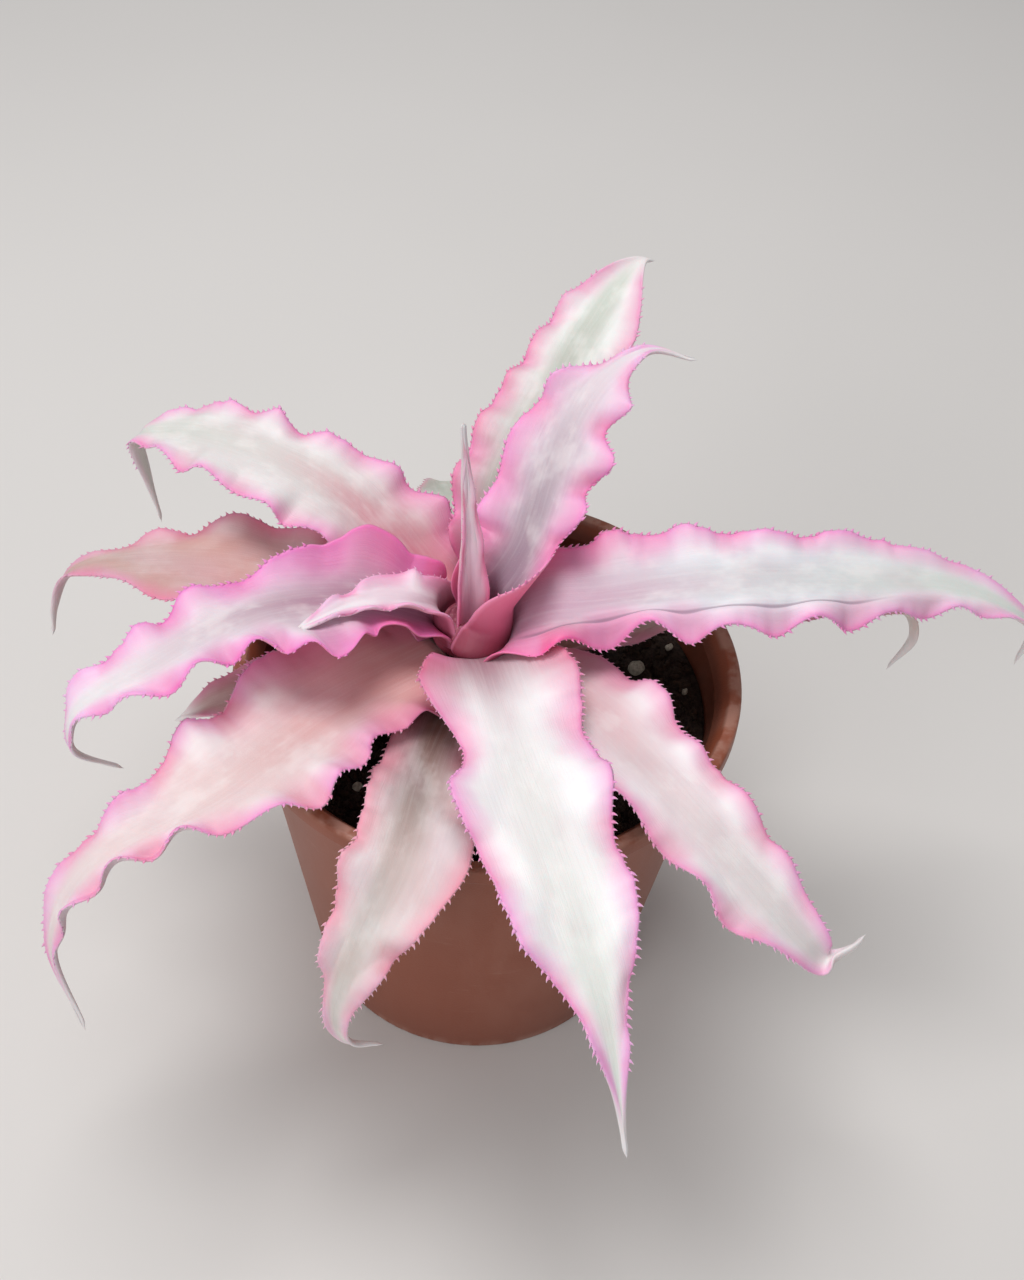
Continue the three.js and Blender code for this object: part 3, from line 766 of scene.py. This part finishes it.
        "left wave": (1.4, 0.4, 6, 60, 0.4, 0), "right wave": (1.6, 1.4, 6, 20, 0.4, 0),
        "frill": 0.7, "blush": 7.2, "stripe": 0.2, "tan": 0.0,
        "swell_highlight": 0.5, "flame": "#f083b8", "dusk": 0.55,
        "skin": ("#94788a", "#d0bccb", "#e8d8e4", "#ff86ac", "#f99ad4", "#eeb8e0"),
    },
    "leaf_left_inner": {
        "path": [[190, 6.6, 90], [190, 6.6, 96], [194, 7, 100], [197, 10.5, 102.6], [194, 16.5, 103.8],
                 [199, 24.4, 104.5], [204, 32, 104.6], [205, 35.5, 104]],
        "left": (6, 5.8, 4.6, 3.8, 3.4, 3.7, 3, 1.8, 1.5, 1),
        "right": (10.5, 10.5, 8.6, 6.8, 7, 5.5, 4, 3.2, 2.4, 1.3),
        "turn": (0, 0, 55, 100, 30, 0.45),
        "left wave": (0.6, 0.2, 5, 60, 0.4, 0), "right wave": (0.6, 0.2, 5, 150, 0.4, 0),
        "frill": 0.5, "blush": 3.4, "stripe": 0.0, "tan": 0.0,
        "swell_highlight": 0.5, "flame": "#f094c0", "dusk": 0.4,
        "skin": ("#9c6478", "#ead4e0", "#f0e4ec", "#a85c74", "#f6b4d8", "#f2c0e0"),
    },
    "leaf_left_under": {
        "path": [[205, 5, 81], [202, 25, 84], [201, 46, 87.5], [199, 58, 82]],
        "left": (8, 9, 10, 10, 10, 9.5, 8.5, 7, 5, 2.5),
        "right": (8, 9, 10, 10, 10, 9.5, 8.5, 7, 5, 2.5),
        "turn": (0, 0, 12, 12, 14, 0.3),
        "left wave": (0.7, 0.2, 6, 155, 0.35, 0), "right wave": (0.7, 0.2, 6, 57, 0.35, 0),
        "frill": 0.5, "blush": 3.0, "stripe": 0.2, "tan": 0.9,
        "swell_highlight": 0.1, "flame": "#c8708c", "dusk": 0.3,
        "skin": ("#a8706c", "#b98880", "#b58a86", "#b06074", "#d0708e", "#cf90a8"),
    },
    "leaf_back_low": {
        "path": [[100, 5, 82], [98, 22, 85], [98, 38, 88.5], [99, 55, 83], [100, 64, 72]],
        "left": (6, 7, 9, 10, 10, 9.5, 8.5, 7, 4.5, 2),
        "right": (6, 7, 9, 10, 10, 9.5, 8.5, 7, 4.5, 2),
        "turn": (0, 0, 12, 12, 14, 0.3),
        "left wave": (0.3, 0.1, 5, 57, 0.35, 0), "right wave": (0.3, 0.1, 5, 155, 0.35, 0),
        "frill": 0.2, "blush": 1.6, "stripe": 0.6, "tan": 0.2,
        "swell_highlight": 0.1, "flame": "#cf9aa8", "dusk": 0.3,
        "skin": ("#a49890", "#b4bab2", "#b4b6aa", "#c08a92", "#dba0b4", "#cfa8b4"),
    },
    "leaf_heart": {
        "path": [[120, 0, 94], [120, 0.6, 100], [120, 2, 112], [120, 4, 126], [120, 6, 139.7]],
        "left": (5, 4.7, 3.8, 3.1, 2.4, 1.8, 1.3, 1, 0.7, 0.4),
        "right": (4.2, 4.1, 3.9, 3.5, 3, 2.5, 2, 1.5, 1, 0.5),
        "turn": (0, 0, 70, 70, 50, 0.4),
        "left wave": (0.1, 0.1, 4, 57, 0.35, 0), "right wave": (0.1, 0.1, 4, 155, 0.35, 0),
        "frill": 0.1, "blush": 1.4, "stripe": 0.0, "tan": 0.0,
        "swell_highlight": 0.1, "flame": "#ee8cb0", "dusk": 0.3,
        "skin": ("#cc98ae", "#ffe2ef", "#fff0f6", "#f47aa6", "#fba6cc", "#f6d4e4"),
    },
}
STATIONS = 200
COLUMNS = 33
MIDRIB_STEPS = 40
NARROWEST_MM = 0.3
SPINE_PITCH = 0.0014
SPINE_LENGTH = 0.00068
SPINE_SHARE = 0.03
SMALLEST_SPINE = 0.35
LARGEST_SPINE = 1.2
SPINES_START = 0.5
SPINES_END = 0.87
BLADE_THICK = 0.0009
TAIL_CUP = 0.9
CRIMPS = 210.0
PUCKERS = 110.0
PUCKER_HEIGHT = 0.0014
CREASE_WIDTH = 0.07


def smooth_run(values, share):
    """The value at this share of a run of evenly spaced values, curving smoothly through them."""
    values = [*values, 0.0]
    spot = min(share, 0.9999) * (len(values) - 1)
    i = int(spot)
    s = spot - i
    a, b = values[max(i - 1, 0)], values[i]
    c, d = values[i + 1], values[min(i + 2, len(values) - 1)]
    return b + 0.5 * s * (c - a + s * (2 * a - 5 * b + 4 * c - d + s * (3 * (b - c) + d - a)))


def midrib(leaf):
    """A smooth line of closely spaced points through the path's points, with the half widths on it."""
    points = []
    for heading, reach, height in leaf["path"]:
        angle = math.radians(heading)
        x, y = STEM_X + reach / 1000 * math.cos(angle), STEM_Y + reach / 1000 * math.sin(angle)
        points.append(Vector((x, y, height / 1000)))
    points = [2 * points[0] - points[1]] + points + [2 * points[-1] - points[-2]]
    line = []
    for a, b, c, d in zip(points, points[1:], points[2:], points[3:]):
        t0, t1, t2 = (b - a).length ** 0.5, (c - b).length ** 0.5, (d - c).length ** 0.5
        leaving = ((b - a) / t0 - (c - a) / (t0 + t1) + (c - b) / t1) * t1
        coming = ((c - b) / t1 - (d - b) / (t1 + t2) + (d - c) / t2) * t1
        for step in range(MIDRIB_STEPS):
            s = step / MIDRIB_STEPS
            near, far = 2 * s ** 3 - 3 * s ** 2 + 1, 3 * s ** 2 - 2 * s ** 3
            pull, push = s ** 3 - 2 * s ** 2 + s, s ** 3 - s ** 2
            line.append(b * near + c * far + leaving * pull + coming * push)
    line.append(points[-2])
    walked = [0.0]
    for a, b in zip(line, line[1:]):
        walked.append(walked[-1] + (b - a).length)
    mesh = bpy.data.meshes.new("midrib")
    mesh.from_pydata(line, [(i, i + 1) for i in range(len(line) - 1)], [])
    for side in ("left", "right"):
        widths = [max(smooth_run(leaf[side], w / walked[-1]), NARROWEST_MM) / 1000 for w in walked]
        mesh.attributes.new(side, "FLOAT", "POINT").data.foreach_set("value", widths)
    return mesh


def keep(shape, name, value, kind="FLOAT"):
    """Writes a value on every point of a shape."""
    sockets = {"Geometry": shape, "Name": name, "Value": value}
    return shape.node("GeometryNodeStoreNamedAttribute", {"data_type": kind, "domain": "POINT"}, sockets)


def kept(flow, name, kind="FLOAT"):
    return flow.node("GeometryNodeInputNamedAttribute", {"data_type": kind}, {"Name": name})


def joined(flow, *values):
    return flow.node("ShaderNodeCombineXYZ", {}, dict(enumerate(values)))


def parted(vector):
    """The three parts of a vector."""
    parts = vector.node("ShaderNodeSeparateXYZ", {}, {"Vector": vector})
    return parts.out("X"), parts.out("Y"), parts.out("Z")


def dot(a, b):
    return a.node("ShaderNodeVectorMath", {"operation": "DOT_PRODUCT"}, {0: a, 1: b}, "Value")


def unit(vector):
    return vector.math("NORMALIZE", vector)


leaf_tree, given = start_shape("leaf", {
    "Stations": int, "Columns": int, "Rolls": tuple, "Cups": tuple,
    "Left wave": tuple, "Left fold": tuple, "Right wave": tuple, "Right fold": tuple,
    "Frill height": float, "Thickness": float, "Curl": float, "Opens": float,
    "Spine pitch": float, "Spine length": float, "Seed": int, "Finish": bpy.types.Material,
})
line = given.node("GeometryNodeMeshToCurve", {}, {"Mesh": given})
length = given.node("GeometryNodeCurveLength", {}, {"Curve": line})


def on_line(share, name=None):
    """The place, or the kept value of this name, at this share of the midrib."""
    sockets = {"Curves": line, "Factor": share}
    if name:
        sockets["Value"] = kept(given, name)
    settings = {"mode": "FACTOR", "use_all_curves": True}
    return given.node("GeometryNodeSampleCurve", settings, sockets, "Value" if name else "Position")


# A flat sheet, one unit long and two wide, with its points closer together at the margins.
sheet = given.node("GeometryNodeMeshGrid", {}, {
    "Size X": 1.0, "Size Y": 2.0,
    "Vertices X": given.out("Stations"), "Vertices Y": given.out("Columns"),
})
flat_along, even, _ = parted(given.node("GeometryNodeInputPosition", {}, {}))
sheet = keep(sheet, "along", flat_along + 0.5)
sheet = keep(sheet, "side", even * (1.3 - even * even * 0.3))
along, side = kept(given, "along"), kept(given, "side")
out_from_rib = given.math("ABSOLUTE", side)
on_left = given.math("GREATER_THAN", side, 0.0)

# The way along the midrib, across the blade and up from it, at each station.
here = on_line(along)
forward = here.out("Tangent")
chord_x, chord_y, _ = parted(on_line(0.75) - on_line(0.1))
level = unit(joined(given, chord_y * -1.0, chord_x, 0.0))
flat_across = unit(level - forward * dot(level, forward))
base_roll, tip_roll, sheath = parted(given.out("Rolls"))
across = given.node("ShaderNodeVectorRotate", {"rotation_type": "AXIS_ANGLE"}, {
    "Vector": flat_across, "Axis": forward, "Angle": base_roll + (tip_roll - base_roll) * along,
})
up = given.math("CROSS_PRODUCT", forward, across)

# Half the width on this side, closing to a point at the end of the tail.
right_half = on_line(along, "right")
half = right_half + (on_line(along, "left") - right_half) * on_left
half = half * along.rise(0.985, 1.0, 1.0, 0.0)

# The section is part of a circle, tight in the sheath and open in the blade. The margins rise and fall
# in waves that also scallop them, and in finer crimps.
left_cup, right_cup, far_cup = parted(given.out("Cups"))
base_cup = right_cup + (left_cup - right_cup) * on_left
cup = base_cup + (far_cup - base_cup) * (along / sheath).rise(given.out("Opens"), 1.0)
cup = cup + along.rise(0.74, 0.96) * TAIL_CUP
bow = cup * side
settle = along.rise(0.01, 0.07) * along.rise(0.66, 0.92, 1.0, 0.0)
wave = given.out("Right wave") + (given.out("Left wave") - given.out("Right wave")) * on_left
fold = given.out("Right fold") + (given.out("Left fold") - given.out("Right fold")) * on_left
wave_height, scallop, waves = parted(wave)
wave_start, crease, hang = parted(fold)
swell_place = joined(given, along * waves * 0.9, on_left * 5.1 + given.out("Seed"), 2.5)
swell = cloud(given, swell_place, 1.0, 0.0).rise(0.3, 0.7, 0.5, 1.45)
swing = given.math("SINE", along * waves * math.tau + wave_start) * swell
frill_place = joined(given, along * length * CRIMPS, on_left * 7.3 + given.out("Seed"), 0.5)
frill = (cloud(given, frill_place, 1.0, 1.0) - 0.5) * 2.4 * given.out("Frill height")
past_crease = given.math("MAXIMUM", (out_from_rib - crease) / (1 - crease), 0.0)
ruffle = wave_height * swing * out_from_rib.rise(crease * 0.8, 1.0) + frill * out_from_rib.rise(0.5, 1.0)
pucker_place = joined(given, along * length * PUCKERS, side * 1.6, given.out("Seed") + 3.0)
pucker = (cloud(given, pucker_place, 1.0, 1.0) - 0.5) * PUCKER_HEIGHT * out_from_rib.rise(0.0, 0.5)
spread = half + (scallop * swing + frill * 0.8) * settle * out_from_rib.rise(0.3, 1.0)
score = given.math("MAXIMUM", 1 - given.math("ABSOLUTE", out_from_rib - crease) / CREASE_WIDTH, 0.0)
score = score * hang * 0.3 * along.rise(0.05, 0.10) * along.rise(0.66, 0.56)
curl = given.out("Curl") * on_left * out_from_rib.rise(0.74, 1.0)
curl = curl * along.rise(0.50, 0.60) * along.rise(0.84, 0.74)
lift = spread * (1 - given.math("COSINE", bow)) / cup + (ruffle + pucker - hang * past_crease) * settle
lift = lift + curl - score
place = here + across * (spread * given.math("SINE", bow) / cup) + up * lift
sheet = given.node("GeometryNodeSetPosition", {}, {"Geometry": sheet, "Position": place})
sheet = keep(sheet, "way", given.node("GeometryNodeInputNormal", {}, {}), "FLOAT_VECTOR")
way = kept(given, "way", "FLOAT_VECTOR")
outward = (across * given.math("COSINE", bow) + up * given.math("SINE", bow)) * given.math("SIGN", side)
sheet = keep(sheet, "outward", unit(outward - way * dot(way, outward)), "FLOAT_VECTOR")
sheet = keep(sheet, "forward", forward, "FLOAT_VECTOR")
rim = half * (1 - out_from_rib) * 1000.0
sheet = keep(sheet, "blade", joined(given, side, along, rim), "FLOAT_VECTOR")
sheet = keep(sheet, "crest", swing)
skin = joined(given, side * half * 1000.0, along * length * 1000.0, given.out("Seed"))
sheet = keep(sheet, "skin", skin, "FLOAT_VECTOR")

# Two skins, upper and under, meet at the margins.
ends = along.rise(0.0, 0.02) * along.rise(0.98, 1.0, 1.0, 0.0)
depth = given.out("Thickness") * 0.5 * (1 - out_from_rib ** 6.0) ** 0.5 * ends
upper = given.node("GeometryNodeSetPosition", {}, {"Geometry": sheet, "Offset": way * depth})
under = given.node("GeometryNodeSetPosition", {}, {"Geometry": sheet, "Offset": way * depth * -1.0})
under = given.node("GeometryNodeFlipFaces", {}, {"Mesh": keep(under, "upper", 0.0)})
skins = given.node("GeometryNodeJoinGeometry", {}, {"Geometry": [keep(upper, "upper", 1.0), under]})
skins = given.node("GeometryNodeMergeByDistance", {}, {"Geometry": skins, "Distance": 0.000001})

# Spines stand along both margins: each is a small flattened cone that hooks towards the leaf's tip.
margins = given.node("GeometryNodeMeshToCurve", {}, {
    "Mesh": sheet, "Selection": given.math("GREATER_THAN", out_from_rib, 0.999),
})
roots = given.node("GeometryNodeCurveToPoints", {"mode": "LENGTH"}, {
    "Curve": margins, "Length": given.out("Spine pitch"),
})
roots = keep(roots, "upper", 1.0)
cone = given.node("GeometryNodeMeshCone", {}, {
    "Vertices": 6, "Side Segments": 4, "Radius Top": 0.05, "Radius Bottom": 0.62, "Depth": 1.4,
})
cone_x, cone_y, cone_z = parted(given.node("GeometryNodeInputPosition", {}, {}))
rise_up = cone_z - 0.3
hooked = joined(given, cone_x + rise_up * rise_up * 0.45, cone_y * 0.5, rise_up)
cone = given.node("GeometryNodeSetPosition", {}, {"Geometry": cone, "Position": hooked})
cone = keep(cone, "spine", rise_up)
growth = given.node("FunctionNodeRandomValue", {"data_type": "FLOAT"}, {
    2: SMALLEST_SPINE, 3: LARGEST_SPINE, "Seed": given.out("Seed"),
}, 1)
tipwards = kept(given, "forward", "FLOAT_VECTOR")
stand = given.node("FunctionNodeAxesToRotation", {"primary_axis": "Z", "secondary_axis": "X"}, {
    "Primary Axis": kept(given, "outward", "FLOAT_VECTOR") + tipwards * 0.35,
    "Secondary Axis": tipwards,
})
past_sheath = given.math("GREATER_THAN", along, sheath * SPINES_START)
before_tail = given.math("LESS_THAN", along, SPINES_END)
spines = given.node("GeometryNodeInstanceOnPoints", {}, {
    "Points": roots, "Instance": cone, "Rotation": stand,
    "Selection": past_sheath * before_tail,
    "Scale": given.out("Spine length") * growth * along.rise(0.82, 0.95, 1.0, 0.35),
})
spines = given.node("GeometryNodeRealizeInstances", {}, {"Geometry": spines})
toothed = given.node("GeometryNodeJoinGeometry", {}, {"Geometry": [skins, spines]})
end_shape(toothed, given.out("Finish"))


def marked(flow, name, part="Fac"):
    """A value that the leaf's mesh keeps on its points."""
    return flow.node("ShaderNodeAttribute", {"attribute_name": name}, {}, part)


def leaf_finish(name, leaf):
    """Waxy leaf skin: a pale clouded middle, a soft pink margin, a green midrib band and grey scurf."""
    skin = [paint(code) for code in leaf["skin"]]
    middle_base, middle, middle_far, margin_base, margin, margin_far = skin
    finish, flow = start_finish(name)
    side, along, rim = parted(marked(flow, "blade", "Vector"))
    out_from_rib = flow.math("ABSOLUTE", side)
    skin_place = marked(flow, "skin", "Vector")
    crest = marked(flow, "crest")
    streaks = cloud(flow, skin_place * (1.3, 0.045, 1.0), 1.0, 4.0, 0.6)
    fibres = cloud(flow, skin_place * (5.0, 0.12, 1.0), 1.0, 2.0)
    patches = cloud(flow, skin_place * (0.10, 0.055, 1.0), 1.0, 2.0)
    clouds = cloud(flow, skin_place * (0.16, 0.09, 1.0) + (13.0, 4.0, 0.0), 1.0, 3.0, 0.6)
    flush = cloud(flow, skin_place * (0.08, 0.16, 1.0) + (31.0, 7.0, 0.0), 1.0, 2.0)
    scurf = cloud(flow, skin_place * (3.2, 2.2, 1.0), 1.0, 3.0, 0.7)

    # The middle: its own three colours, then the green band, painted shade in the furrow, a painted
    # highlight on the swells, clouds and streaks.
    # The colour at the base is partly the leaf's own darker base and partly painted shade near the crown
    # and under the leaves above.
    tone = along.rise(0.04, leaf["dusk"]).blend(middle_base, middle)
    tone = along.rise(0.45, 0.85).blend(tone, middle_far)
    band = out_from_rib.rise(0.10, 0.55, 1.0, 0.0) * along.rise(0.15, 0.4) * (patches * 0.6 + 0.6)
    tone = (band * leaf["stripe"]).blend(tone, paint("#c3ccc0"))
    # Painted shade: the furrow along the midrib near the base is darkened towards the base colour.
    furrow_shade = out_from_rib.rise(0.02, 0.42, 1.0, 0.0) * along.rise(leaf["dusk"] * 1.4, leaf["dusk"] * 0.4)
    tone = (furrow_shade * 0.6).blend(tone, middle_base)
    # Painted highlight: the blade is whitened where it swells beside the margin.
    swell_highlight_mask = crest.rise(-0.4, 0.9) * out_from_rib.rise(0.30, 0.70) * along.rise(0.10, 0.30)
    tone = (swell_highlight_mask * leaf["swell_highlight"]).blend(tone, paint("#fffcff"))
    chalk = clouds.rise(0.46, 0.68) * (0.30 - 0.22 * leaf["tan"]) * along.rise(0.12, 0.3)
    tone = chalk.blend(tone, paint("#fffdfc"))
    tone = (patches.rise(0.50, 0.72) * 0.16).blend(tone, paint("#c9a2b2"))
    tone = (streaks.rise(0.42, 0.68) * (0.10 - 0.07 * leaf["tan"])).blend(tone, paint("#fbf8fa"))
    # The brown of an old blade, which is also partly painted shade on a blade sheltered under others.
    tone = (patches.rise(0.60, 0.35) * leaf["tan"] * 0.5).blend(tone, paint("#c48f80"))

    # The margin's pink: hotter where the edge dips, and reaching further in at the base.
    pink = along.rise(0.05, 0.34).blend(margin_base, margin)
    pink = along.rise(0.5, 0.85).blend(pink, margin_far)
    heat = crest.rise(0.3, -0.9) * along.rise(0.95, 0.55, 0.25, 0.75) + flush.rise(0.5, 0.7) * 0.25
    pink = flow.math("MINIMUM", heat, 1.0).blend(pink, paint(leaf["flame"]))
    reach = (flush * 1.2 + 0.65 - crest * 0.25) * leaf["blush"] * along.rise(0.05, 0.5, 2.2, 1.0)
    wash = (1 - (rim / reach).rise(-0.25, 1.0)) * out_from_rib.rise(0.10, 0.70)
    seam = 1 - (rim / (flush * 1.4 + 0.6)).rise(0.0, 1.0)
    strength = (wash * 0.95 + seam * 0.25) * along.rise(0.88, 1.0, 1.0, 0.15)
    tone = flow.math("MINIMUM", strength, 1.0).blend(tone, pink)
    # Painted shade: a thin dark line along the crease where the margin hangs down.
    if leaf["right wave"][5]:
        line = flow.math("ABSOLUTE", side + leaf["right wave"][4]).rise(0.01, 0.05, 1.0, 0.0)
        line = line * along.rise(0.05, 0.10) * along.rise(0.66, 0.56) * 0.6
        tone = line.blend(tone, paint("#8d6f86"))
    tone = (scurf.rise(0.60, 0.72) * 0.14).blend(tone, paint("#f7f5f4"))
    tone = (scurf.rise(0.36, 0.28) * 0.07).blend(tone, paint("#8f8088"))

    # The underside is silvery, and dark red at its foot, darkest at the very bottom, where the dark is
    # partly painted shade under the crown. Tail and spines are bone white.
    below = (streaks * 0.6 + scurf * 0.4).blend(paint("#ccd2ca"), paint("#f4f6f3"))
    below = (wash * 0.35 + leaf["tan"] * 0.5).blend(below, pink)
    sheath = leaf["turn"][5]
    # Partly painted shade: the foot darkens towards the very bottom of the sheath, under the crown.
    foot = along.rise(sheath * 0.15, sheath * 0.65).blend(paint("#8f3f52"), margin_base)
    foot = (seam * 0.7).blend(foot, paint("#f59fc0"))
    below = along.rise(sheath * 0.5, sheath * 1.15).blend(foot, below)
    tone = marked(flow, "upper").blend(below, tone)
    tone = along.rise(0.86, 0.97).blend(tone, paint("#ebe6e7"))
    tone = marked(flow, "spine").rise(0.25, 0.95).blend(tone, paint("#f8e2ec"))
    end_finish(flow, {
        "Base Color": tone,
        "Roughness": streaks * 0.12 + scurf * 0.12 + 0.38,
        "Specular IOR Level": 0.4,
        "Subsurface Weight": 0.2,
        "Subsurface Radius": (1.0, 0.45, 0.40),
        "Subsurface Scale": 0.0014,
        "Normal": bumps(flow, streaks * 0.5 + fibres * 0.2 + scurf * 0.2, 0.00030, 0.5),
    })
    return finish


for number, (name, leaf) in enumerate(LEAVES.items()):
    finish = leaf_finish(name + "_skin", leaf)
    base_roll, tip_roll, *cups = [math.radians(x) for x in leaf["turn"][:5]]
    widest = max(leaf["left"]) + max(leaf["right"])
    sizes = {
        "Stations": STATIONS, "Columns": COLUMNS, "Rolls": (base_roll, tip_roll, leaf["turn"][5]),
        "Cups": tuple(cups), "Frill height": leaf["frill"] / 1000,
        "Thickness": BLADE_THICK, "Curl": leaf.get("curl", 0) / 1000, "Opens": leaf.get("opens", 0.25),
        "Spine pitch": SPINE_PITCH,
        "Spine length": min(SPINE_LENGTH, SPINE_SHARE * widest / 1000),
        "Seed": number, "Finish": finish,
    }
    for edge in ("left", "right"):
        tall, scallop, count, start, crease, hang = leaf[edge + " wave"]
        sizes[edge.capitalize() + " wave"] = (tall / 1000, scallop / 1000, float(count))
        sizes[edge.capitalize() + " fold"] = (math.radians(start), crease, hang / 1000)
    leaf_mesh = grow(name, midrib(leaf), leaf_tree, sizes)
    for mark in ("along", "side", "way", "outward", "forward", "left", "right"):
        if mark in leaf_mesh.attributes:
            leaf_mesh.attributes.remove(leaf_mesh.attributes[mark])
    blade = add_piece(name + "_blade", leaf_mesh, finish)
    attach(blade, "root")
    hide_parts(name)


seen_low, seen_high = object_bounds()
sizes = {"cad": [list(cad_low), list(cad_high)], "visual": [list(seen_low), list(seen_high)]}
